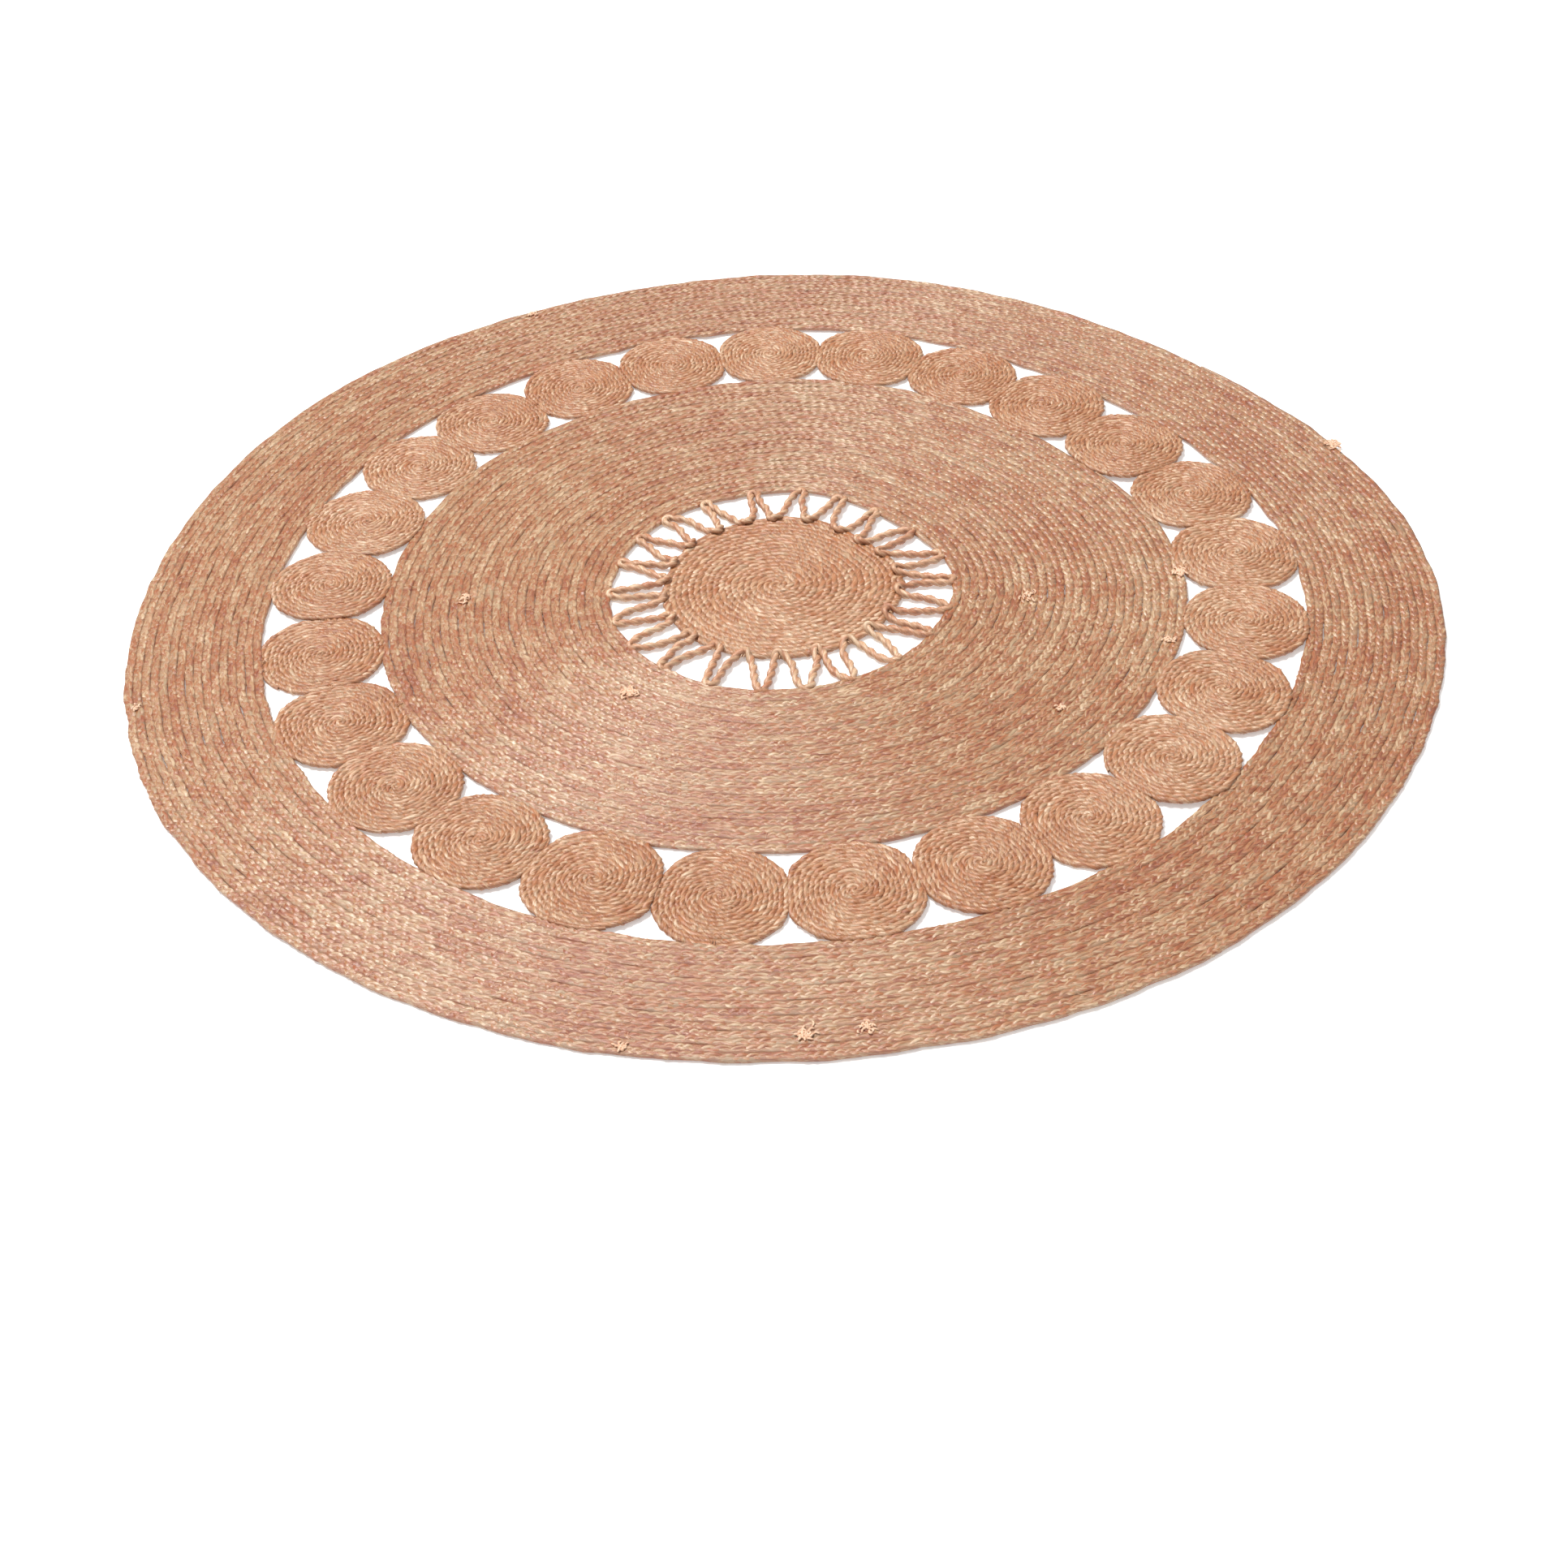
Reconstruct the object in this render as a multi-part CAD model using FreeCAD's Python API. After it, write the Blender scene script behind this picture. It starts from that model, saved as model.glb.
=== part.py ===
import FreeCAD, Part
import math
import os

# Round jute area rug, lying flat with its underside on z = 0. From the middle outwards it
# is a coiled medallion, an openwork zigzag of cord, a wide band of coiled braid, a ring of
# coiled roundels and an outer band of coiled braid. All lengths are in millimetres.

# Driving dimensions
RUG_RADIUS = 750.0
ROUNDEL_RING_RADIUS = 531.0
MIDDLE_BAND_INNER_RADIUS = 198.0
MEDALLION_RADIUS = 139.0
BRAID_THICKNESS = 8.0
CORD_THICKNESS = 7.0
OPENWORK_CORD_DIAMETER = 7.6
THREAD_DIAMETER = 1.6

# Roundels: how many, where the first one is, and how unlike each other they are
ROUNDEL_COUNT = 25
FIRST_ROUNDEL_ANGLE = 90.0
ROUNDEL_SIZE_SPREAD = 0.010
ROUNDEL_SIZE_STEP = 2.3

# Openwork: pointed loops around the ring, the radius of each bend, and its unevenness
OPENWORK_LOOPS = 22
OPENWORK_BEND_RADIUS = 5.5
OPENWORK_ANGLE_SPREAD = 1.5
OPENWORK_ANGLE_STEP = 2.4

# Hand-wound coils are never quite round: lobes, height and phase of each wave at the rim
RIM_WAVES = ((2, 1.5, 68.0), (3, 5.6, 45.0), (4, 2.8, 12.0), (5, 3.2, -15.0), (6, 2.0, -70.0))

# Sewn pieces lie this far apart, and their edges are rounded like the cord or braid
JOIN_GAP = 0.4
EDGE_FLAT = 0.6
OUTLINE_POINTS = 96
STITCH_LENGTH = 3.2
STITCH_DEPTH = 0.9


def polar(radius, angle, height=0.0):
    turn = math.radians(angle)
    return FreeCAD.Vector(radius * math.cos(turn), radius * math.sin(turn), height)


def wavy_radius(mean_radius, angle):
    """Radius of an out-of-round coil at an angle: the waves grow with the coil's size."""
    wave = sum(h * math.cos(math.radians(n * angle + phase)) for n, h, phase in RIM_WAVES)
    return mean_radius + wave * math.sqrt(mean_radius / RUG_RADIUS)


def wavy_face(mean_radius, offset=0.0):
    """Flat face inside a wavy outline, moved out from that outline by an offset."""
    step = 360.0 / OUTLINE_POINTS
    angles = [step * i for i in range(OUTLINE_POINTS)]
    curve = Part.BSplineCurve()
    curve.interpolate([polar(wavy_radius(mean_radius, a) + offset, a) for a in angles],
                      PeriodicFlag=True)
    return Part.Face(Part.Wire(curve.toShape()))


def rounded_plate(face, thickness):
    """Plate with its face on the floor and its edges rounded over nearly their whole height."""
    plate = face.extrude(FreeCAD.Vector(0, 0, thickness))
    rims = [e for e in plate.Edges if e.BoundBox.ZLength < 0.1]
    return plate.makeFillet((thickness - EDGE_FLAT) / 2, rims)


def roundel_layout():
    """Centre and radius of each roundel, sized so that each touches the next all the way."""
    step = 360.0 / ROUNDEL_COUNT
    nominal = [FIRST_ROUNDEL_ANGLE - step * i for i in range(ROUNDEL_COUNT)]
    ring = [wavy_radius(ROUNDEL_RING_RADIUS, a) for a in nominal]
    share = [1 + ROUNDEL_SIZE_SPREAD * math.sin(ROUNDEL_SIZE_STEP * i) for i in range(ROUNDEL_COUNT)]

    def turns(mean_size):
        """Angle from each roundel to the next when the mean roundel has this radius."""
        angles = []
        for i in range(ROUNDEL_COUNT):
            j = (i + 1) % ROUNDEL_COUNT
            apart = mean_size * (share[i] + share[j]) + JOIN_GAP
            cosine = (ring[i] ** 2 + ring[j] ** 2 - apart ** 2) / (2 * ring[i] * ring[j])
            angles.append(math.degrees(math.acos(cosine)))
        return angles

    low = 0.5 * math.pi * ROUNDEL_RING_RADIUS / ROUNDEL_COUNT
    high = 1.5 * math.pi * ROUNDEL_RING_RADIUS / ROUNDEL_COUNT
    for _ in range(50):
        mean_size = (low + high) / 2
        if sum(turns(mean_size)) > 360.0:
            high = mean_size
        else:
            low = mean_size

    layout = []
    angle = FIRST_ROUNDEL_ANGLE
    for radius, size, turn in zip(ring, share, turns(mean_size)):
        layout.append((polar(radius, angle), mean_size * size))
        angle -= turn
    return layout


def openwork_bends():
    """Centres of the cord's bends, by turns at the middle band and at the medallion."""
    half_step = 180.0 / OPENWORK_LOOPS
    cord = OPENWORK_CORD_DIAMETER / 2 + JOIN_GAP
    bends = []
    for k in range(2 * OPENWORK_LOOPS):
        angle = half_step * k + OPENWORK_ANGLE_SPREAD * math.sin(OPENWORK_ANGLE_STEP * k)
        if k % 2 == 0:
            reach = wavy_radius(MIDDLE_BAND_INNER_RADIUS, angle) - cord - OPENWORK_BEND_RADIUS
        else:
            reach = wavy_radius(MEDALLION_RADIUS, angle) + cord + OPENWORK_BEND_RADIUS
        bends.append((angle, reach))
    return bends


def openwork_path(height):
    """Closed path of straight legs and round bends, each leg tangent to both its bends."""
    centres = [polar(reach, angle) for angle, reach in openwork_bends()]
    count = len(centres)
    legs = []
    for k in range(count):
        side = 1 if k % 2 == 0 else -1
        here = complex(centres[k].x, centres[k].y)
        there = complex(centres[(k + 1) % count].x, centres[(k + 1) % count].y)
        run = math.sqrt(abs(there - here) ** 2 - (2 * OPENWORK_BEND_RADIUS) ** 2)
        along = (there - here) / (run - 2j * OPENWORK_BEND_RADIUS * side)
        outward = -1j * along * side * OPENWORK_BEND_RADIUS
        legs.append((here + outward, there - outward, outward))
    edges = []
    for k in range(count):
        start, end, outward = legs[k]
        before = legs[k - 1]
        middle = outward - before[2]
        crown = complex(centres[k].x, centres[k].y) + OPENWORK_BEND_RADIUS * middle / abs(middle)
        bend = [FreeCAD.Vector(p.real, p.imag, height) for p in (before[1], crown, start)]
        edges.append(Part.Arc(*bend).toShape())
        edges.append(Part.LineSegment(bend[2], FreeCAD.Vector(end.real, end.imag, height)).toShape())
    return Part.Wire(edges), legs


def openwork_cord():
    """The one cord of the openwork, a tube all the way round its zigzag path."""
    radius = OPENWORK_CORD_DIAMETER / 2
    path, legs = openwork_path(radius)
    start, end, _ = legs[0]
    middle = (start + end) / 2
    centre = FreeCAD.Vector(middle.real, middle.imag, radius)
    along = FreeCAD.Vector((end - start).real, (end - start).imag, 0)
    ring = Part.Wire(Part.Circle(centre, along, radius).toShape())
    spine = split_at(path, centre)
    return Part.Solid(spine.makePipeShell([ring], True, False).Shells[0])


def split_at(path, point):
    """The same closed path, starting and ending at a point in the middle of a straight leg."""
    edges = path.OrderedEdges
    place = min(range(len(edges)), key=lambda i: edges[i].distToShape(Part.Vertex(point))[0])
    leg = edges[place]
    first = Part.LineSegment(point, leg.Vertexes[1].Point).toShape()
    last = Part.LineSegment(leg.Vertexes[0].Point, point).toShape()
    return Part.Wire([first] + edges[place + 1:] + edges[:place] + [last])


def stitches(joins, heights):
    """Short runs of thread across each join, each reaching into the edges that it holds."""
    threads = []
    for point, along in joins:
        for height in heights:
            start = point - along * (STITCH_LENGTH / 2) + FreeCAD.Vector(0, 0, height)
            threads.append(Part.makeCylinder(THREAD_DIAMETER / 2, STITCH_LENGTH, start, along))
    return Part.Compound(threads)


def export(name, shape):
    shape.exportStep("parts/" + name + ".step")


os.makedirs("parts", exist_ok=True)
layout = roundel_layout()
roundel_reach = max(size for _, size in layout) + JOIN_GAP

# The two bands of coiled braid, which hold the ring of roundels between them
outer_face = wavy_face(RUG_RADIUS).cut(wavy_face(ROUNDEL_RING_RADIUS, roundel_reach))
middle_face = wavy_face(ROUNDEL_RING_RADIUS, -roundel_reach).cut(wavy_face(MIDDLE_BAND_INNER_RADIUS))
export("outer_band", rounded_plate(outer_face, BRAID_THICKNESS))
export("middle_band", rounded_plate(middle_face, BRAID_THICKNESS))

# The medallion and the roundels, each one a coil of twisted cord
export("centre_medallion", rounded_plate(wavy_face(MEDALLION_RADIUS), CORD_THICKNESS))
for number, (centre, size) in enumerate(layout, start=1):
    disc = Part.Face(Part.Wire(Part.Circle(centre, FreeCAD.Vector(0, 0, 1), size).toShape()))
    export("roundel_%02d" % number, rounded_plate(disc, CORD_THICKNESS))

# The openwork between the medallion and the middle band
export("openwork_cord", openwork_cord())

# Stitches where a roundel meets the next one and each band, on the top and the underside
top_and_bottom = (CORD_THICKNESS - STITCH_DEPTH, STITCH_DEPTH)
side_joins = []
outer_joins = []
middle_joins = []
for i, (centre, size) in enumerate(layout):
    towards = layout[(i + 1) % ROUNDEL_COUNT][0] - centre
    towards.normalize()
    side_joins.append((centre + towards * (size + JOIN_GAP / 2), towards))
    outward = FreeCAD.Vector(centre)
    outward.normalize()
    outer_joins.append((centre + outward * (size + JOIN_GAP / 2), outward))
    middle_joins.append((centre - outward * (size + JOIN_GAP / 2), outward))
export("roundel_stitches", stitches(side_joins, top_and_bottom))
export("outer_band_stitches", stitches(outer_joins, top_and_bottom))
export("middle_band_stitches", stitches(middle_joins, top_and_bottom))

# Stitches where the bends of the openwork cord meet the middle band and the medallion
openwork_top = (OPENWORK_CORD_DIAMETER - STITCH_DEPTH,)
band_bends = []
medallion_bends = []
for k, (angle, reach) in enumerate(openwork_bends()):
    edge = OPENWORK_BEND_RADIUS + OPENWORK_CORD_DIAMETER / 2 + JOIN_GAP / 2
    if k % 2 == 0:
        band_bends.append((polar(reach + edge, angle), polar(1.0, angle)))
    else:
        medallion_bends.append((polar(reach - edge, angle), polar(1.0, angle)))
export("openwork_stitches", stitches(band_bends, openwork_top))
export("medallion_stitches", stitches(medallion_bends, openwork_top))
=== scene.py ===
import math

import bpy
import numpy as np
from mathutils import Matrix, Vector


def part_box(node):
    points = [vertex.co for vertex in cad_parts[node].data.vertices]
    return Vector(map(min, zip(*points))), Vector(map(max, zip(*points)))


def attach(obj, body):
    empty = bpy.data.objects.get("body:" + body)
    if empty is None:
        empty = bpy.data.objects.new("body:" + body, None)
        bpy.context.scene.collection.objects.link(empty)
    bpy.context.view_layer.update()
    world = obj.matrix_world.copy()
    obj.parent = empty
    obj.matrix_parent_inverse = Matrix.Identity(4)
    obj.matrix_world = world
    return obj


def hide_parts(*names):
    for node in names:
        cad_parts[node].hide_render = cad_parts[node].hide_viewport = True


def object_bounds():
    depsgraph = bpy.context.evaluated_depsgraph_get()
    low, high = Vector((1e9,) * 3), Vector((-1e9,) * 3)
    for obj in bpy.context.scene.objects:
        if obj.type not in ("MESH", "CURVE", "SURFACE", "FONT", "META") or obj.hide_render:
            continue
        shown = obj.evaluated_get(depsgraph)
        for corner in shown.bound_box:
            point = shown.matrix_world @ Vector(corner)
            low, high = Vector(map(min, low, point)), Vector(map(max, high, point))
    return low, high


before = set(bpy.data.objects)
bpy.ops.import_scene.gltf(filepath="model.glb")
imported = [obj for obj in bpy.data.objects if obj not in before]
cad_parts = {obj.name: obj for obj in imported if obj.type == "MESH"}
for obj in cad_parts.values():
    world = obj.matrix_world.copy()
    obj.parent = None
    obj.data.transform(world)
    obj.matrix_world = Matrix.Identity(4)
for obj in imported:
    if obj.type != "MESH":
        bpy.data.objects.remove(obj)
cad_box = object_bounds()

# A round jute rug of coiled braid and coiled cord, in metres, lying on the floor at z = 0.
# Outlines, centres and thicknesses are read from the frame. What follows is how the braid and
# the cord are made and wound. Unevenness is given as its size and the length of its swells.
TURN = 2 * math.pi
RUG_RADIUS = (cad_box[1].x - cad_box[0].x) / 2
ROUNDELS = ["roundel_%02d" % number for number in range(1, 26)]

# Three-strand braid: rows in each band, length of one weave of a strand, and its strands
OUTER_ROWS = 16
MIDDLE_ROWS = 27
WEAVE_LENGTH = 0.0350
WEAVE_LAG = 0.7
WEAVE_UNEVEN = (1.6, 0.16)
STRAND_SWING = 0.0028
STRAND_RISE = 0.0007
STRAND_WIDE = 0.0026
STRAND_THICK = 0.0022
STRAND_UNEVEN = (0.20, 0.034)
STRAND_SIDES = 6
BRAID_STEP = 0.0027
BRAID_OVERLAP = 1.14
BRAID_TILT = math.radians(9)
TILT_UNEVEN = (0.7, 0.16)
BRAID_SWAY = (0.0010, 0.12)
BRAID_WAVER = (0.0006, 0.041)
BRAID_HEAVE = (0.0003, 0.09)

# Two-ply cord: turns in each coil, length of one full twist, and the shape of its section
ROUNDEL_TURNS = 13
MEDALLION_TURNS = 19
TWIST_LENGTH = 0.0240
TWIST_UNEVEN = (2.4, 0.12)
PLY_OFFSET = 0.38
PLY_ANGLES = np.radians([0, 36, 66, 90, 114, 144, 180, 216, 246, 270, 294, 324])
CORD_UNEVEN = (0.18, 0.026)
CORD_STEP = 0.0026
CORD_OVERLAP = 1.50
CORD_FULLNESS = 1.02
CORD_SWAY = (0.0007, 0.06)
CORD_HEAVE = (0.0002, 0.05)
DISC_CROWN = 0.0007
FIRST_TURN_POINTS = 30
LEAST_TURN_POINTS = 26

# Packed fibre inside each row: half its height, and it takes one in so many of the row's points
CORE_HALF = 0.0018
CORE_EVERY = 4

# The bands start at these angles, where their rows step over by one. A band is made in equal
# sectors and steps over in the first of them. A coil of cord steps over in a longer stretch.
OUTER_START = math.radians(20)
MIDDLE_START = math.radians(0)
OUTER_SECTORS = 12
MIDDLE_SECTORS = 8
COIL_STEP_OVER = math.radians(140)
NARROWEST_END = 0.3

# Roundels are discs pressed flat where they are sewn to each other and to the bands. Each is a
# little unlike the others in size, height and tilt.
ROUNDEL_FULLNESS = 1.09
ROUNDEL_SIZES = (0.975, 1.02)
ROUNDEL_PRESS = 0.0006
ROUNDEL_OVERLAP = 0.0046
OVERLAP_SHARES = (0.4, 1.5)
ROUNDEL_LIFT = 0.0028
ROUNDEL_TILT = 0.014
CORNER_SHARPNESS = 30

# Openwork cord: loops, bend radius and unevenness as in the CAD, and how far its bends tuck into
# the edge of the band and ride up onto the medallion
OPENWORK_LOOPS = 22
OPENWORK_BEND = 0.0055
BEND_SIZES = (0.75, 1.3)
OPENWORK_CORD = 0.0102
OPENWORK_TWIST = 0.0320
OPENWORK_UNEVEN = math.radians(1.5)
OPENWORK_UNEVEN_STEP = 2.4
OPENWORK_BOW = 0.0050
OPENWORK_CURL = 0.0032
LEG_POINTS = 12
TUCK_AT_BAND = 0.0020
RIDE_ON_DISC = 0.0060
RIDE_HEIGHT = 0.0048
RIDE_SLOPE = 0.0080

# Tack stitches: radius of the thread, and how far each of the two turns is off the middle. Points
# of the CAD's stitches that are in the same cell or in cells side by side are one stitch.
THREAD_RADIUS = 0.0006
STITCH_SHIFT = 0.0011
STITCH_SHIFT_UNEVEN = 0.0004
STITCH_SLANT = 0.0012
STITCH_DEPTH = 0.0030
STITCH_CELL = 0.004
STITCH_SEED = 70

# Loose fibre: thick curls in the tufts, and thin single hairs on the two bands, between the
# first two radii but not between the second two. They grow from just below the top of the braid.
TUFT_HAIR = 0.0011
TUFT_SPREAD = 0.28
SINGLE_HAIRS = 900
SINGLE_HAIR = 0.0002
HAIR_RADII = (0.22, 0.745)
BARE_RADII = (0.462, 0.600)
HAIR_SIZES = (0.006, 0.018)
HAIR_START = 0.001
HAIR_ROOT = 0.0012

# The rug lies almost flat: height of its long ripples, how uneven the edges of a band are, and
# the least height of anything above the floor
RIPPLE = 0.0012
RIM_WOBBLE = 0.0011
FLOOR_GAP = 0.0002


# ---------------------------------------------------------------- shapes from the frame

# Edges are round, so they are found in a thin slice halfway up a node, where it is widest. When
# the radii there differ by less than the narrowest band would, the node is a disc with one edge.
EDGE_SLICE = 0.0005
LEAST_BAND = 0.05


def node_points(node):
    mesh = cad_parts[node].data
    co = np.empty(3 * len(mesh.vertices))
    mesh.vertices.foreach_get("co", co)
    return co.reshape(-1, 3)


def rim(node, outside):
    """The radius of a node's outer or inner edge as a function of the angle."""
    co = node_points(node)
    middle = (co[:, 2].min() + co[:, 2].max()) / 2
    co = co[abs(co[:, 2] - middle) < EDGE_SLICE]
    radius = np.hypot(co[:, 0], co[:, 1])
    edge = radius > radius.mean() if outside else radius < radius.mean()
    if np.ptp(radius) < LEAST_BAND:
        edge = radius > 0
    angle = np.arctan2(co[edge, 1], co[edge, 0])
    order = np.argsort(angle)
    angle, radius = angle[order], radius[edge][order]

    def at(theta):
        return np.interp(theta, angle, radius, period=TURN)
    return at


def thickness(node):
    low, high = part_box(node)
    return high.z - low.z


def flat_centre(node):
    """Centre of a node in the plane of the floor, as a complex number, and its radius."""
    low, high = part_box(node)
    return complex(low.x + high.x, low.y + high.y) / 2, (high.x - low.x) / 2


# ---------------------------------------------------------------- small helpers

def wander(s, seed, length):
    """Smooth uneven variation between about -1 and 1, with swells of about this length."""
    phases = np.random.default_rng(seed).uniform(0, TURN, 4)
    waves = zip((1.0, 1.63, 2.71, 0.57), (0.4, 0.3, 0.2, 0.3), phases)
    return sum(size * np.sin(TURN * s * rate / length + phase) for rate, size, phase in waves)


def uneven(s, seed, size_and_length):
    """The same variation at a given size, from a pair of that size and the swells' length."""
    size, length = size_and_length
    return size * wander(s, seed, length)


def smooth(t):
    t = np.clip(t, 0, 1)
    return t * t * (3 - 2 * t)


def ripple(x, y):
    """How far the rug lifts off the floor: long shallow swells, never below the floor."""
    swell = np.sin(5.1 * x + 2.3 * y + 0.6) + np.sin(-3.7 * x + 6.2 * y + 2.1)
    swell = swell + 0.6 * np.sin(9.5 * x - 4.4 * y + 4.0)
    return RIPPLE * np.clip(0.5 + 0.4 * swell, 0, None)


class Cloth:
    """Collects the tubes and plates of one piece and makes them into one mesh."""

    def __init__(self):
        self.points = []
        self.quads = []
        self.caps = []
        self.fibre = []
        self.along = []
        self.crease_shade = []
        self.row = []
        self.count = 0

    def add(self, points, fibre, crease_shade, row, closed=False):
        """A tube of n rings of m points, with the fibre, painted crease shade and row values of its
        surface.
        """
        n, m = crease_shade.shape
        points[..., 2] = np.maximum(points[..., 2], FLOOR_GAP)
        ring = np.arange(m)
        here = m * np.arange(n if closed else n - 1)[:, None]
        ahead = m * ((np.arange(len(here)) + 1) % n)[:, None]
        step = (ring + 1) % m
        quads = np.stack([here + ring, here + step, ahead + step, ahead + ring], -1).reshape(-1, 4)
        flat = points.reshape(-1, 3)
        corner = flat[quads]
        normal = np.cross(corner[:, 2] - corner[:, 0], corner[:, 3] - corner[:, 1])
        outward = (points - points.mean(1, keepdims=True)).reshape(-1, 3)[quads[:, 0]]
        turned_in = (normal * outward).sum() < 0
        self.quads.append(self.count + (quads[:, ::-1] if turned_in else quads))
        row = np.broadcast_to(row[:, None], (n, m))
        along = np.gradient(points, axis=0)
        parts = [slice(0, n)]
        if not closed:
            first = self.count + n * m + ring
            last = first + m
            self.caps.append(first if turned_in else first[::-1])
            self.caps.append(last[::-1] if turned_in else last)
            parts += [slice(0, 1), slice(n - 1, n)]
        for part in parts:
            self.points.append(points[part].reshape(-1, 3))
            self.fibre.append(fibre[part].reshape(-1, 3))
            self.along.append(along[part].reshape(-1, 3))
            self.crease_shade.append(crease_shade[part].reshape(-1))
            self.row.append(row[part].reshape(-1))
            self.count += len(self.crease_shade[-1])

    def piece(self, name, nodes, material):
        """The finished piece, which stands for its CAD nodes and rides on the rug's one body."""
        quads = np.concatenate(self.quads)
        sizes = [4] * len(quads) + [len(c) for c in self.caps]
        corners = np.concatenate([quads.reshape(-1)] + self.caps)
        mesh = bpy.data.meshes.new(name)
        mesh.vertices.add(self.count)
        mesh.vertices.foreach_set("co", np.concatenate(self.points).reshape(-1))
        mesh.loops.add(len(corners))
        mesh.loops.foreach_set("vertex_index", corners)
        mesh.polygons.add(len(sizes))
        mesh.polygons.foreach_set("loop_start", np.cumsum([0] + sizes[:-1]))
        mesh.update(calc_edges=True)
        mesh.shade_smooth()
        for label, values in (("fibre", self.fibre), ("along", self.along)):
            attribute = mesh.attributes.new(label, "FLOAT_VECTOR", "POINT")
            attribute.data.foreach_set("vector", np.concatenate(values).reshape(-1))
        for label, values in (("crease_shade", self.crease_shade), ("row", self.row)):
            attribute = mesh.attributes.new(label, "FLOAT", "POINT")
            attribute.data.foreach_set("value", np.concatenate(values))
        mesh.validate()
        mesh.materials.append(material)
        made = bpy.data.objects.new(name, mesh)
        bpy.context.scene.collection.objects.link(made)
        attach(made, "root")
        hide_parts(*nodes)
        return made


# ---------------------------------------------------------------- coils

class Coil:
    """A flat coil whose rows step over by one in a stretch just past its start angle.

    outline(theta, share) is the radius at a share of the way from its inside to its rim."""

    def __init__(self, outline, rows, start, shift):
        self.outline = outline
        self.rows = rows
        self.start = start
        self.shift = shift
        around = np.linspace(0, TURN, 181)
        self.low = float(np.mean(outline(around, 0.0)))
        self.pitch = float(np.mean(outline(around, 1.0)) - self.low) / rows
        zone = np.linspace(0, 1, 501)
        self.first = shift * float(zone[np.argmax(smooth(zone) > NARROWEST_END)])
        self.last = TURN * rows + shift * float(zone[np.argmax(smooth(zone) > 1 - NARROWEST_END)])

    def place(self, wound):
        """Angle, radius, taper, row width and length run, at these winding angles."""
        turn = np.floor(wound / TURN + 1e-9)
        over = smooth((wound - TURN * turn) / self.shift)
        opening = (turn == 0) & (over < 1)
        closing = turn >= self.rows
        row = np.where(opening, over / 2, turn - 0.5 + over)
        row = np.where(closing, self.rows - (1 - over) / 2, row)
        taper = np.where(opening, over, np.where(closing, 1 - over, 1.0))
        theta = self.start + wound
        radius = self.outline(theta, row / self.rows)
        width = self.outline(theta, (row + 0.5) / self.rows) - self.outline(
            theta, (row - 0.5) / self.rows)
        before = TURN * (self.low * turn + self.pitch * turn * turn / 2)
        run = before + (wound - TURN * turn) * (self.low + self.pitch * (turn + 0.5))
        return theta, radius, taper, width * taper, run


def centred(theta, radius, centre=0j):
    """Points of a coil in the plane of the floor, and the sideways direction at each."""
    side = np.stack([np.cos(theta), np.sin(theta), np.zeros_like(theta)], -1)
    return side * radius[:, None] + np.array([centre.real, centre.imag, 0.0]), side


def sweep(path, side, across, upward):
    """Rings of points around a path, from offsets to the side and upward, both n by m."""
    up = np.array([0.0, 0.0, 1.0])
    return path[:, None, :] + side[:, None, :] * across[..., None] + up * upward[..., None]


def braid(cloth, coil, wound, middle, seed):
    """The three woven strands of a stretch of braid, leaning slightly to the inside."""
    theta, radius, taper, width, run = coil.place(wound)
    radius = radius + uneven(run, seed, BRAID_SWAY) + uneven(run, seed + 5, BRAID_WAVER)
    path, side = centred(theta, radius)
    path[:, 2] = ripple(path[:, 0], path[:, 1]) + middle + uneven(run, seed + 1, BRAID_HEAVE)
    core(cloth, path, side, width, run)
    tall = np.sqrt(taper)
    spread = BRAID_OVERLAP * width / (2 * (STRAND_SWING + STRAND_WIDE))
    lean = BRAID_TILT * (1 + uneven(run, seed + 6, TILT_UNEVEN))
    ring = TURN * np.arange(STRAND_SIDES) / STRAND_SIDES
    weave = TURN * run / WEAVE_LENGTH + uneven(run, seed + 2, WEAVE_UNEVEN)
    for strand in range(3):
        phase = weave + TURN * strand / 3
        thick = 1 + uneven(run, seed + 10 + strand, STRAND_UNEVEN)
        swing = STRAND_SWING * spread * np.sin(phase)
        rise = STRAND_RISE * tall * np.sin(2 * phase - WEAVE_LAG)
        across = swing[:, None] + (STRAND_WIDE * spread * thick)[:, None] * np.cos(ring)
        upward = rise[:, None] + (STRAND_THICK * tall * thick)[:, None] * np.sin(ring)
        leaning = upward - across * np.sin(lean)[:, None]
        points = sweep(path, side, across + upward * np.sin(lean)[:, None], leaning)
        # Each strand takes its streaks from a different stretch of fibre
        fibre = np.empty(points.shape)
        fibre[..., 0] = (run + 31.7 * strand + 0.5 * seed)[:, None]
        fibre[..., 1] = STRAND_WIDE * np.cos(ring)
        fibre[..., 2] = STRAND_THICK * np.sin(ring)
        # Painted shade: the crease value is highest low on each strand and on the outer side of a
        # row, which tucks under the next
        height = abs(upward) / ((STRAND_RISE + STRAND_THICK) * tall[:, None])
        tucked_shade = 0.3 * across / width[:, None]
        cloth.add(points, fibre, np.clip(1 - height + tucked_shade, 0, 1), run)


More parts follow.
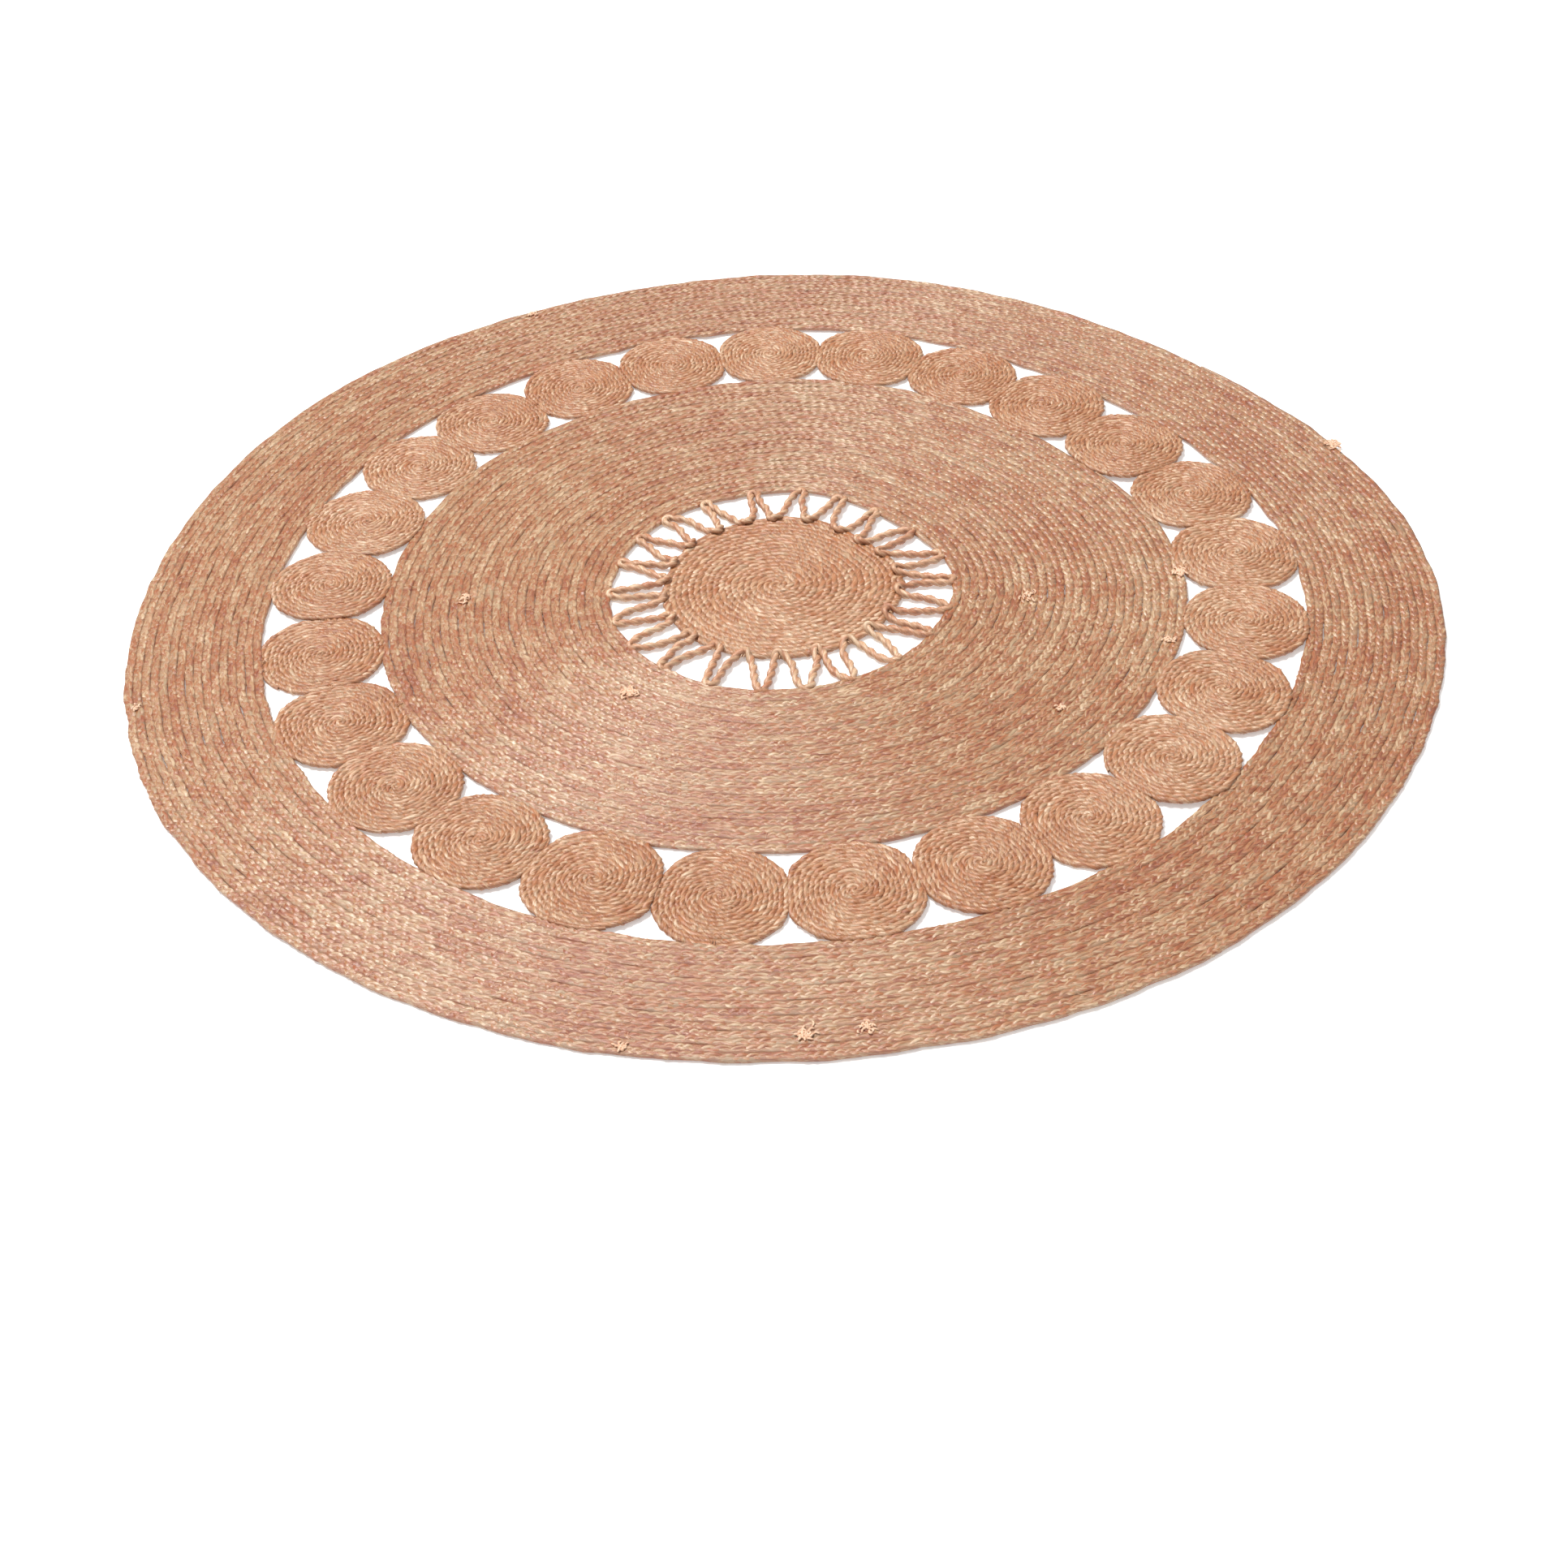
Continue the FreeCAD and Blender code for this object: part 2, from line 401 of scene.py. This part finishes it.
def cord(cloth, path, side, run, width, tall, seed, closed=False):
    """A stretch of two-ply twisted cord along a path, with its width and its height.

    A closed cord is twisted evenly, so that its end meets its start."""
    loose = 0 if closed else 1
    twist = TURN * run / TWIST_LENGTH + loose * uneven(run, seed, TWIST_UNEVEN)
    reach = PLY_OFFSET * abs(np.cos(PLY_ANGLES)) + np.sqrt(
        (1 - PLY_OFFSET) ** 2 - (PLY_OFFSET * np.sin(PLY_ANGLES)) ** 2)
    turned = PLY_ANGLES[None, :] - twist[:, None]
    thick = 1 + loose * uneven(run, seed + 3, CORD_UNEVEN)
    across = reach * np.cos(turned) * (thick * width / 2)[:, None]
    upward = reach * np.sin(turned) * (thick * tall / 2)[:, None]
    points = sweep(path, side, across, upward)
    # Each ply and each coil takes its streaks from a different stretch of fibre
    fibre = np.empty(points.shape)
    ply = np.where(np.cos(PLY_ANGLES) > 0, 0.0, 5.3)
    fibre[..., 0] = run[:, None] + ply + 0.37 * seed
    fibre[..., 1] = reach * np.cos(PLY_ANGLES) * tall[:, None] / 2
    fibre[..., 2] = reach * np.sin(PLY_ANGLES) * tall[:, None] / 2
    # Painted shade: the crease value is highest on the low sides of the cord and in the grooves
    # between its plies
    height = np.clip(1.15 * abs(reach * np.sin(turned)), 0, 1)
    groove_shade = 1 - abs(np.cos(PLY_ANGLES)) ** 0.5
    cloth.add(points, fibre, np.maximum(1 - height, 0.6 * groove_shade), run + 13.7 * seed, closed)


def core(cloth, path, side, width, run):
    """The packed fibre inside one row of a coil, which closes most of the gap to its neighbours."""
    some = np.unique(np.append(np.arange(0, len(run), CORE_EVERY), len(run) - 1))
    across = (width[some, None] / 2) * np.array([-1, -1, 1, 1])
    upward = np.broadcast_to(CORE_HALF * np.array([-1, 1, 1, -1]), across.shape)
    points = sweep(path[some], side[some], across, upward)
    # The packed fibre gets a fixed crease value of 0.6, a share of painted shade
    cloth.add(points, points.copy(), np.full(across.shape, 0.6), run[some])


def band(node, rows, start, sectors, material):
    """A wide flat band of braid, made as equal sectors whose strands run on from one another."""
    inner, outer = rim(node, False), rim(node, True)

    def outline(theta, share):
        wobble = RIM_WOBBLE * wander(np.cos(theta) + 2 * np.sin(2 * theta), rows, 0.5)
        return inner(theta) + (outer(theta) - inner(theta)) * share + wobble * (2 * share - 1)
    shift = TURN / sectors
    coil = Coil(outline, rows, start, shift)
    middle = thickness(node) / 2
    for sector in range(sectors):
        cloth = Cloth()
        for row in range(rows + 1):
            begin = max(TURN * row + shift * sector, coil.first)
            end = min(TURN * row + shift * (sector + 1), coil.last)
            if end - begin < 1e-6:
                continue
            reach = coil.low + coil.pitch * (row + 0.5)
            count = max(2, round((end - begin) * reach / BRAID_STEP))
            braid(cloth, coil, np.linspace(begin, end, count + 1), middle, seed=100)
        cloth.piece("%s_part_%02d" % (node, sector + 1), [node], material)


def disc_of_cord(name, node, edge, turns, start, material, seed, lift=0.0, tilt=(0.0, 0.0)):
    """A coil of cord wound from its centre out to an edge: the medallion or a roundel."""
    centre, size = flat_centre(node)

    def outline(theta, share):
        return size * share * (1 + (edge(theta) / size - 1) * np.clip(share, 0, 1))
    coil = Coil(outline, turns, start, COIL_STEP_OVER)
    # Each turn's points end a little before the first point of the next turn
    parts = [np.linspace(coil.first, TURN * 0.999, FIRST_TURN_POINTS)]
    for turn in range(1, turns + 1):
        begin, end = TURN * turn, min(TURN * (turn + 0.999), coil.last)
        count = round((end - begin) * coil.pitch * (turn + 0.5) / CORD_STEP)
        parts.append(np.linspace(begin, end, max(LEAST_TURN_POINTS, count)))
    theta, radius, taper, width, run = coil.place(np.concatenate(parts))
    path, side = centred(theta, radius + uneven(run, seed, CORD_SWAY), centre)
    middle = thickness(node) / 2
    path[:, 2] = middle + lift + ripple(path[:, 0], path[:, 1])
    path[:, 2] += DISC_CROWN * (1 - (radius / size) ** 2) + uneven(run, seed + 5, CORD_HEAVE)
    path[:, 2] += tilt[0] * (path[:, 0] - centre.real) + tilt[1] * (path[:, 1] - centre.imag)
    cloth = Cloth()
    tall = thickness(node) * CORD_FULLNESS * np.sqrt(taper)
    cord(cloth, path, side, run, CORD_OVERLAP * width, tall, seed)
    core(cloth, path, side, width, run)
    cloth.piece(name, [node], material)


def pressed_edge(walls, full):
    """Radius of a disc of this full radius, pressed flat against walls around it."""
    theta = np.linspace(-math.pi, math.pi, 121)
    inverse = np.full_like(theta, full ** -CORNER_SHARPNESS)
    for direction, distance in walls:
        facing = np.clip(np.cos(theta - direction), 0, None)
        inverse += (facing / distance) ** CORNER_SHARPNESS
    radius = inverse ** (-1 / CORNER_SHARPNESS)

    def edge(angle):
        return np.interp(angle, theta, radius, period=TURN)
    return edge


def roundels(material):
    """The ring of coiled roundels, each pressed against its neighbours and both bands."""
    rng = np.random.default_rng(12)
    outer_edge, middle_edge = rim("outer_band", False), rim("middle_band", True)
    places = [flat_centre(node) for node in ROUNDELS]
    for i, (node, (centre, size)) in enumerate(zip(ROUNDELS, places)):
        walls = []
        for other in (places[i - 1][0], places[(i + 1) % len(places)][0]):
            walls.append((np.angle(other - centre), abs(other - centre) / 2 + ROUNDEL_PRESS))
        away = np.angle(centre)
        give = ROUNDEL_OVERLAP * rng.uniform(*OVERLAP_SHARES, 2)
        walls.append((away, outer_edge(away) - abs(centre) + give[0]))
        walls.append((away + math.pi, abs(centre) - middle_edge(away) + give[1]))
        edge = pressed_edge(walls, size * ROUNDEL_FULLNESS * rng.uniform(*ROUNDEL_SIZES))
        start = rng.uniform(0, TURN)
        lift = rng.uniform(0, ROUNDEL_LIFT)
        tilt = rng.uniform(-ROUNDEL_TILT, ROUNDEL_TILT, 2)
        disc_of_cord(node + "_coil", node, edge, ROUNDEL_TURNS, start, material, 600 + i, lift, tilt)


# ---------------------------------------------------------------- openwork

def openwork_route():
    """The zigzag of the openwork cord: round bends joined by legs that bow a little."""
    band_edge, disc_edge = rim("middle_band", False), rim("centre_medallion", True)
    rng = np.random.default_rng(7)
    bends = []
    for k in range(2 * OPENWORK_LOOPS):
        angle = math.pi / OPENWORK_LOOPS * k + OPENWORK_UNEVEN * math.sin(OPENWORK_UNEVEN_STEP * k)
        bend = OPENWORK_BEND * rng.uniform(*BEND_SIZES)
        if k % 2 == 0:
            reach = band_edge(angle) + TUCK_AT_BAND - bend
        else:
            reach = disc_edge(angle) - RIDE_ON_DISC + bend
        bends.append((reach * complex(math.cos(angle), math.sin(angle)), bend))
    legs = []
    for k, (here, bend) in enumerate(bends):
        there, next_bend = bends[(k + 1) % len(bends)]
        side = 1 if k % 2 == 0 else -1
        both = bend + next_bend
        along = (there - here) / complex(math.sqrt(abs(there - here) ** 2 - both ** 2), -both * side)
        outward = -1j * along * side
        legs.append((here + outward * bend, there - outward * next_bend, outward))
    route = []
    for k, (here, bend) in enumerate(bends):
        start, end, outward = legs[k]
        before = legs[k - 1]
        crown = (outward - before[2]) / abs(outward - before[2])
        for first, last in ((before[1] - here, crown), (crown, start - here)):
            turn = np.angle(last / first)
            route += [here + bend * first / abs(first) * np.exp(1j * turn * t)
                      for t in (0, 0.25, 0.5, 0.75)]
        bow = rng.uniform(-OPENWORK_BOW, OPENWORK_BOW)
        curl = rng.uniform(-OPENWORK_CURL, OPENWORK_CURL)
        for t in np.linspace(0, 1, LEG_POINTS, endpoint=False):
            sway = bow * math.sin(math.pi * t) + curl * math.sin(TURN * t)
            route.append(start + (end - start) * t + 1j * sway * (end - start) / abs(end - start))
    route = np.array(route)
    over = smooth((disc_edge(np.angle(route)) - abs(route)) / RIDE_SLOPE + 0.5)
    return np.stack([route.real, route.imag, RIDE_HEIGHT * over], -1)


def even_steps(curve, step):
    """The closed curve with points an even step apart, the length at each, and the whole length."""
    loop = np.vstack([curve, curve[:1]])
    length = np.concatenate([[0], np.cumsum(np.linalg.norm(np.diff(loop, axis=0), axis=1))])
    run = np.linspace(0, length[-1], round(length[-1] / step), endpoint=False)
    even = np.stack([np.interp(run, length, loop[:, i]) for i in range(3)], -1)
    for _ in range(3):
        even = (np.roll(even, 1, 0) + 2 * even + np.roll(even, -1, 0)) / 4
    return even, run, length[-1]


def openwork(material):
    path, run, total = even_steps(openwork_route(), CORD_STEP)
    ahead = np.roll(path, -1, 0) - np.roll(path, 1, 0)
    side = np.stack([ahead[:, 1], -ahead[:, 0], np.zeros(len(ahead))], -1)
    side /= np.linalg.norm(side, axis=1)[:, None]
    path[:, 2] += OPENWORK_CORD / 2 + ripple(path[:, 0], path[:, 1])
    run = run * round(total / OPENWORK_TWIST) * TWIST_LENGTH / total
    thick = np.full(len(run), OPENWORK_CORD)
    cloth = Cloth()
    cord(cloth, path, side, run, thick, thick, seed=900, closed=True)
    cloth.piece("openwork_cord_twisted", ["openwork_cord"], material)


# ---------------------------------------------------------------- stitches and loose fibre

def thread(cloth, route, radius, seed, sides=5):
    """A thin round thread through a short list of points."""
    t = np.linspace(0, len(route) - 1, 4 * (len(route) - 1) + 1)
    route = np.array(route)
    path = np.stack([np.interp(t, np.arange(len(route)), route[:, i]) for i in range(3)], -1)
    for _ in range(2):
        path[1:-1] = (path[:-2] + 2 * path[1:-1] + path[2:]) / 4
    ahead = np.gradient(path, axis=0)
    side = np.cross(ahead, [0.0, 0.0, 1.0]) + np.array([1e-9, 0.0, 0.0])
    side /= np.linalg.norm(side, axis=1)[:, None]
    up = np.cross(side, ahead)
    up /= np.linalg.norm(up, axis=1)[:, None]
    ring = TURN * np.arange(sides) / sides
    taper = radius * (1 - 0.5 * abs(np.linspace(-1, 1, len(path))) ** 4)
    circle = side[:, None, :] * np.cos(ring)[:, None] + up[:, None, :] * np.sin(ring)[:, None]
    rings = path[:, None, :] + taper[:, None, None] * circle
    run = np.linspace(0, 0.02, len(path)) + 0.61 * seed
    fibre = np.empty(rings.shape)
    fibre[..., 0] = run[:, None]
    fibre[..., 1] = radius * np.cos(ring)
    fibre[..., 2] = radius * np.sin(ring)
    # Threads get a small crease value of 0.1, a trace of painted shade
    cloth.add(rings, fibre, np.full(rings.shape[:2], 0.1), run)


def joins(node):
    """Centre, direction and top of each stitch of a CAD stitch node, seen from above."""
    cells = {}
    for point in node_points(node):
        key = (round(point[0] / STITCH_CELL), round(point[1] / STITCH_CELL))
        near = [(key[0] + a, key[1] + b) for a in (0, -1, 1) for b in (0, -1, 1)]
        found = next((cells[k] for k in near if k in cells), None)
        cells[key] = found if found is not None else []
        cells[key].append(point)
    groups = {id(members): np.array(members) for members in cells.values()}
    for members in groups.values():
        centre = (members.min(0) + members.max(0)) / 2
        flat = members[:, :2] - centre[:2]
        along = np.linalg.eigh(flat.T @ flat)[1][:, 1]
        yield centre, np.array([along[0], along[1], 0.0]), members[:, 2].max()


def stitches(node, reach, crown, material):
    """Tack stitches over each join that the CAD marks: two turns of thread side by side.

    reach is half the length of a stitch, and crown is how far its middle stands above the CAD's
    thread."""
    rng = np.random.default_rng(STITCH_SEED)
    cloth = Cloth()
    for number, (centre, along, level) in enumerate(joins(node)):
        beside = np.array([-along[1], along[0], 0.0])
        base = np.array([centre[0], centre[1], ripple(centre[0], centre[1]) + level])
        for turn in (-1, 1):
            off = STITCH_SHIFT * turn + rng.uniform(-STITCH_SHIFT_UNEVEN, STITCH_SHIFT_UNEVEN)
            shift = beside * off
            slant = beside * rng.uniform(-STITCH_SLANT, STITCH_SLANT)
            profile = ((-1, -STITCH_DEPTH), (-0.8, 0.0), (0, crown), (0.8, 0.0), (1, -STITCH_DEPTH))
            route = [base + shift + (along * reach + slant) * place + np.array([0, 0, height])
                     for place, height in profile]
            thread(cloth, route, THREAD_RADIUS, STITCH_SEED + number)
    cloth.piece(node + "_thread", [node], material)


def hair(cloth, rng, spot, size, stand, radius, seed, sides):
    """One hair: a curl that leaves the surface, bends over and comes back near it.

    size is how far it reaches, and a larger stand makes it rise higher."""
    heading = rng.uniform(0, TURN)
    bend = rng.uniform(-1.6, 1.6)
    rise = size * stand * rng.uniform(0.1, 0.6)
    route = [spot - np.array([0, 0, HAIR_ROOT])]
    for t in (0.33, 0.66, 1.0):
        turned = heading + bend * t
        out = size * t * rng.uniform(0.8, 1.15)
        lift = rise * math.sin(math.pi * min(t, 0.95) * 0.9)
        route.append(spot + np.array([out * math.cos(turned), out * math.sin(turned), lift]))
    thread(cloth, route, radius, seed, sides)


def loose_fibres(material):
    """Stray hairs and the small tufts where a strand of jute ends."""
    rng = np.random.default_rng(41)
    edge = rim("outer_band", True)
    # Radius as a share of the rim's, angle in degrees, size of the tuft and how many hairs
    tufts = ((1.0, 20.3, 0.013, 36), (0.614, -0.5, 0.012, 36), (0.605, -17, 0.009, 16),
             (0.961, -89.2, 0.012, 32), (0.955, -84.6, 0.011, 26), (0.341, -131.3, 0.013, 52),
             (0.490, -179.1, 0.015, 16), (0.99, 116.1, 0.010, 16), (0.99, -102.7, 0.010, 18),
             (0.383, -8.1, 0.013, 16), (0.521, -39.3, 0.010, 12), (0.985, -165.2, 0.008, 12))
    top = thickness("outer_band") - HAIR_START
    cloth = Cloth()
    for share, degrees, size, count in tufts:
        angle = math.radians(degrees)
        radius = share * edge(angle)
        spot = np.array([radius * math.cos(angle), radius * math.sin(angle), 0.0])
        spot[2] = ripple(spot[0], spot[1]) + top
        for number in range(count):
            away = np.array([*rng.normal(0, TUFT_SPREAD * size, 2), 0.0])
            hair(cloth, rng, spot + away, 0.5 * size, 0.5, TUFT_HAIR, number, sides=6)
    for number in range(SINGLE_HAIRS):
        radius = math.sqrt(rng.uniform(HAIR_RADII[0] ** 2, HAIR_RADII[1] ** 2))
        angle = rng.uniform(0, TURN)
        size = rng.uniform(*HAIR_SIZES)
        if BARE_RADII[0] < radius < BARE_RADII[1]:
            continue
        spot = np.array([radius * math.cos(angle), radius * math.sin(angle), 0.0])
        spot[2] = ripple(spot[0], spot[1]) + top
        hair(cloth, rng, spot, size, 0.2, SINGLE_HAIR, number, sides=3)
    cloth.piece("loose_fibres", ["outer_band"], material)


# ---------------------------------------------------------------- materials

def linear(r, g, b):
    """A colour given as it looks on a screen, 0 to 255, as the numbers a shader takes."""
    return tuple(((c / 255 + 0.055) / 1.055) ** 2.4 for c in (r, g, b)) + (1.0,)


class Nodes:
    """A material's node tree, with short ways to add and join nodes."""

    def __init__(self, name):
        self.material = bpy.data.materials.new(name)
        self.material.use_nodes = True
        self.tree = self.material.node_tree
        self.shader = self.tree.nodes["Principled BSDF"]

    def add(self, kind, **values):
        node = self.tree.nodes.new(kind)
        for key, value in values.items():
            setattr(node, key, value)
        return node

    def set(self, socket, value):
        if isinstance(value, (int, float, tuple)):
            socket.default_value = value
        else:
            self.tree.links.new(value, socket)

    def attribute(self, name, output):
        return self.add("ShaderNodeAttribute", attribute_name=name).outputs[output]

    def math(self, operation, *values):
        node = self.add("ShaderNodeMath", operation=operation)
        for socket, value in zip(node.inputs, values):
            self.set(socket, value)
        return node.outputs[0]

    def noise(self, vector, scale, detail=2.0, rough=0.5):
        """Noise over a vector stretched by a scale, or over a length when the scale is one."""
        if isinstance(scale, tuple):
            stretch = self.add("ShaderNodeVectorMath", operation="MULTIPLY")
            self.set(stretch.inputs[0], vector)
            self.set(stretch.inputs[1], scale)
            node = self.add("ShaderNodeTexNoise")
            self.set(node.inputs["Vector"], stretch.outputs[0])
        else:
            node = self.add("ShaderNodeTexNoise", noise_dimensions="1D")
            self.set(node.inputs["W"], self.math("MULTIPLY", vector, scale))
        self.set(node.inputs["Scale"], 1.0)
        self.set(node.inputs["Detail"], detail)
        self.set(node.inputs["Roughness"], rough)
        return node.outputs[0]

    def span(self, value, low, high, to_low=0.0, to_high=1.0):
        node = self.add("ShaderNodeMapRange")
        for socket, number in zip(node.inputs, (value, low, high, to_low, to_high)):
            self.set(socket, number)
        return node.outputs[0]

    def ramp(self, value, stops):
        node = self.add("ShaderNodeValToRGB")
        elements = node.color_ramp.elements
        while len(elements) < len(stops):
            elements.new(0.5)
        for element, (place, colour) in zip(elements, stops):
            element.position = place
            element.color = colour
        self.set(node.inputs["Fac"], value)
        return node.outputs["Color"]

    def mix(self, factor, a, b):
        node = self.add("ShaderNodeMix", data_type="RGBA")
        self.set(node.inputs["Factor"], factor)
        self.set([s for s in node.inputs if s.name == "A" and s.type == "RGBA"][0], a)
        self.set([s for s in node.inputs if s.name == "B" and s.type == "RGBA"][0], b)
        return [s for s in node.outputs if s.type == "RGBA"][0]


def jute(name, stops, grey, rust, crease_shade_colour, variety, gloss, grain):
    """Dry jute fibre: strands of straw, tan, rust and grey, streaked along the fibre.

    stops are the colours from darkest to palest, variety is how unlike the strands are, gloss
    is the index of refraction, and grain is how far the highlights stretch over the fibres. The
    shade colour is painted shade, laid into creases, low sides and tucked edges by the crease
    values."""
    n = Nodes(name)
    fibre = n.attribute("fibre", "Vector")
    crease_shade = n.attribute("crease_shade", "Fac")
    row = n.attribute("row", "Fac")
    place = n.add("ShaderNodeTexCoord").outputs["Object"]

    # Tone: from strand to strand, along each row and from place to place, then fine streaks
    tone = 0.5
    for noise, strength in ((n.noise(fibre, (38, 170, 170), 4.0, 0.65), 2.4 * variety),
                            (n.noise(row, 22.0, 3.0, 0.6), 0.9 * variety),
                            (n.noise(row, 3.1, 2.0), 0.7 * variety),
                            (n.noise(place, (3.2, 3.2, 3.2), 2.0), 0.6)):
        tone = n.math("ADD", tone, n.math("MULTIPLY", n.math("SUBTRACT", noise, 0.5), strength))
    streak = n.noise(fibre, (75, 1300, 1300), 3.0, 0.6)
    tone = n.math("ADD", tone, n.math("MULTIPLY", n.math("SUBTRACT", streak, 0.5), 2.2))
    fine = n.noise(fibre, (190, 4000, 4000), 2.0)
    tone = n.math("ADD", tone, n.math("MULTIPLY", n.math("SUBTRACT", fine, 0.5), 0.5))
    colour = n.ramp(tone, stops)

    # Faded and rust-red stretches of fibre, and painted shade in the creases between the strands
    faded = n.math("MULTIPLY", n.span(n.noise(fibre, (21, 60, 60), 2.0), 0.50, 0.66),
                   n.span(n.noise(row, 6.0, 2.0), 0.35, 0.60))
    colour = n.mix(n.math("MULTIPLY", faded, 0.8), colour, grey)
    ruddy = n.span(n.noise(fibre, (27, 140, 140), 3.0), 0.51, 0.63)
    colour = n.mix(n.math("MULTIPLY", ruddy, 0.65 * variety), colour, rust)
    # Painted shade: the higher the crease value, the more the colour turns to the shade colour
    painted_shade = n.math("MULTIPLY", n.math("POWER", crease_shade, 2.2), 0.62)
    colour = n.mix(painted_shade, colour, crease_shade_colour)
    n.set(n.shader.inputs["Base Color"], colour)

    # The gloss of bundled fibres, which shine in a line across their length
    n.set(n.shader.inputs["Roughness"], n.span(streak, 0.3, 0.7, 0.50, 0.35))
    n.set(n.shader.inputs["IOR"], gloss)
    n.set(n.shader.inputs["Specular IOR Level"], 0.9)
    n.set(n.shader.inputs["Anisotropic"], grain)
    n.set(n.shader.inputs["Anisotropic Rotation"], 0.25)
    n.set(n.shader.inputs["Tangent"], n.attribute("along", "Vector"))
    n.set(n.shader.inputs["Sheen Weight"], 0.05)
    n.set(n.shader.inputs["Sheen Roughness"], 0.4)
    n.set(n.shader.inputs["Sheen Tint"], linear(255, 236, 214))
    bump = n.add("ShaderNodeBump")
    n.set(bump.inputs["Strength"], 0.9)
    n.set(bump.inputs["Distance"], 0.0005)
    n.set(bump.inputs["Height"], n.math("ADD", streak, n.math("MULTIPLY", fine, 0.5)))
    n.set(n.shader.inputs["Normal"], bump.outputs["Normal"])
    return n.material


def floor_paint():
    n = Nodes("floor_paint")
    n.set(n.shader.inputs["Base Color"], (0.85, 0.85, 0.85, 1.0))
    n.set(n.shader.inputs["Emission Color"], (1.0, 1.0, 1.0, 1.0))
    n.set(n.shader.inputs["Emission Strength"], 0.3)
    n.set(n.shader.inputs["Roughness"], 0.9)
    n.set(n.shader.inputs["Specular IOR Level"], 0.1)
    return n.material


# ---------------------------------------------------------------- camera, light and floor

def set_camera():
    """A view from the front and well above the rug, turned slightly."""
    elevation, roll = math.radians(40.44), math.radians(-2.07)
    # The point looked at and the distance from it, both in radii of the rug
    target = Vector((-0.0026, -0.4632, 0))
    distance = 3.196
    forward = Vector((0, math.cos(elevation), -math.sin(elevation)))
    level = Vector((1, 0, 0))
    upright = Vector((0, math.sin(elevation), math.cos(elevation)))
    right = level * math.cos(roll) + upright * math.sin(roll)
    up = upright * math.cos(roll) - level * math.sin(roll)
    data = bpy.data.cameras.new("camera")
    data.lens = 52.5
    data.sensor_width = 36
    camera = bpy.data.objects.new("camera", data)
    bpy.context.scene.collection.objects.link(camera)
    camera.matrix_world = Matrix((right, up, -forward)).transposed().to_4x4()
    camera.location = target * RUG_RADIUS - forward * distance * RUG_RADIUS
    bpy.context.scene.camera = camera


def area_light(name, place, size, power, colour):
    data = bpy.data.lights.new(name, "AREA")
    data.shape = "DISK"
    data.size = size
    data.energy = power
    data.color = colour
    light = bpy.data.objects.new(name, data)
    bpy.context.scene.collection.objects.link(light)
    light.location = place
    light.rotation_euler = (-Vector(place)).to_track_quat("-Z", "Y").to_euler()


def set_light():
    world = bpy.data.worlds.new("studio")
    world.use_nodes = True
    background = world.node_tree.nodes["Background"]
    background.inputs["Color"].default_value = (1, 1, 1, 1)
    background.inputs["Strength"].default_value = 0.59
    scene = bpy.context.scene
    scene.world = world
    scene.view_settings.view_transform = "Standard"
    area_light("key", place=(-4.2, 1.5, 11.5), size=3.5, power=1640, colour=(1.0, 0.975, 0.94))


def set_floor():
    bpy.ops.mesh.primitive_plane_add(size=40)
    floor = bpy.context.object
    floor.name = "floor"
    floor.data.materials.append(floor_paint())


# ---------------------------------------------------------------- the rug

set_camera()
set_light()
set_floor()

braid_jute = jute("braid_jute",
                  stops=((0.05, linear(138, 62, 20)), (0.28, linear(164, 94, 44)),
                         (0.48, linear(172, 120, 74)), (0.64, linear(180, 139, 99)),
                         (0.82, linear(193, 160, 123)), (1.0, linear(211, 180, 144))),
                  grey=linear(170, 143, 108), rust=linear(168, 86, 34), crease_shade_colour=linear(118, 48, 10),
                  variety=1.0, gloss=1.7, grain=0.7)
cord_jute = jute("cord_jute",
                 stops=((0.05, linear(150, 82, 40)), (0.28, linear(175, 110, 64)),
                        (0.48, linear(185, 133, 90)), (0.64, linear(195, 148, 110)),
                        (0.82, linear(209, 172, 137)), (1.0, linear(224, 193, 162))),
                 grey=linear(182, 150, 116), rust=linear(176, 100, 48), crease_shade_colour=linear(118, 50, 12),
                 variety=0.9, gloss=1.6, grain=0.45)
openwork_jute = jute("openwork_jute",
                     stops=((0.05, linear(168, 104, 68)), (0.28, linear(194, 134, 96)),
                            (0.48, linear(206, 156, 118)), (0.64, linear(214, 170, 132)),
                            (0.82, linear(224, 190, 154)), (1.0, linear(236, 208, 174))),
                     grey=linear(200, 166, 132), rust=linear(190, 118, 76),
                     crease_shade_colour=linear(124, 66, 36), variety=0.9, gloss=1.6, grain=0.45)
loose_jute = jute("loose_jute",
                  stops=((0.0, linear(222, 168, 134)), (0.5, linear(234, 192, 160)),
                         (1.0, linear(244, 218, 190))),
                  grey=linear(226, 198, 170), rust=linear(216, 156, 120),
                  crease_shade_colour=linear(214, 156, 122), variety=0.5, gloss=1.5, grain=0.3)

band("outer_band", OUTER_ROWS, OUTER_START, OUTER_SECTORS, braid_jute)
band("middle_band", MIDDLE_ROWS, MIDDLE_START, MIDDLE_SECTORS, braid_jute)
disc_of_cord("medallion_coil", "centre_medallion", rim("centre_medallion", True),
             MEDALLION_TURNS, start=1.0, material=cord_jute, seed=500)
roundels(cord_jute)
openwork(openwork_jute)
for node, reach, crown in (("roundel_stitches", 0.0036, -0.0012),
                           ("outer_band_stitches", 0.0036, -0.0008),
                           ("middle_band_stitches", 0.0036, -0.0008),
                           ("openwork_stitches", 0.0034, 0.0006),
                           ("medallion_stitches", 0.0034, 0.0006)):
    stitches(node, reach, crown, cord_jute)
loose_fibres(loose_jute)
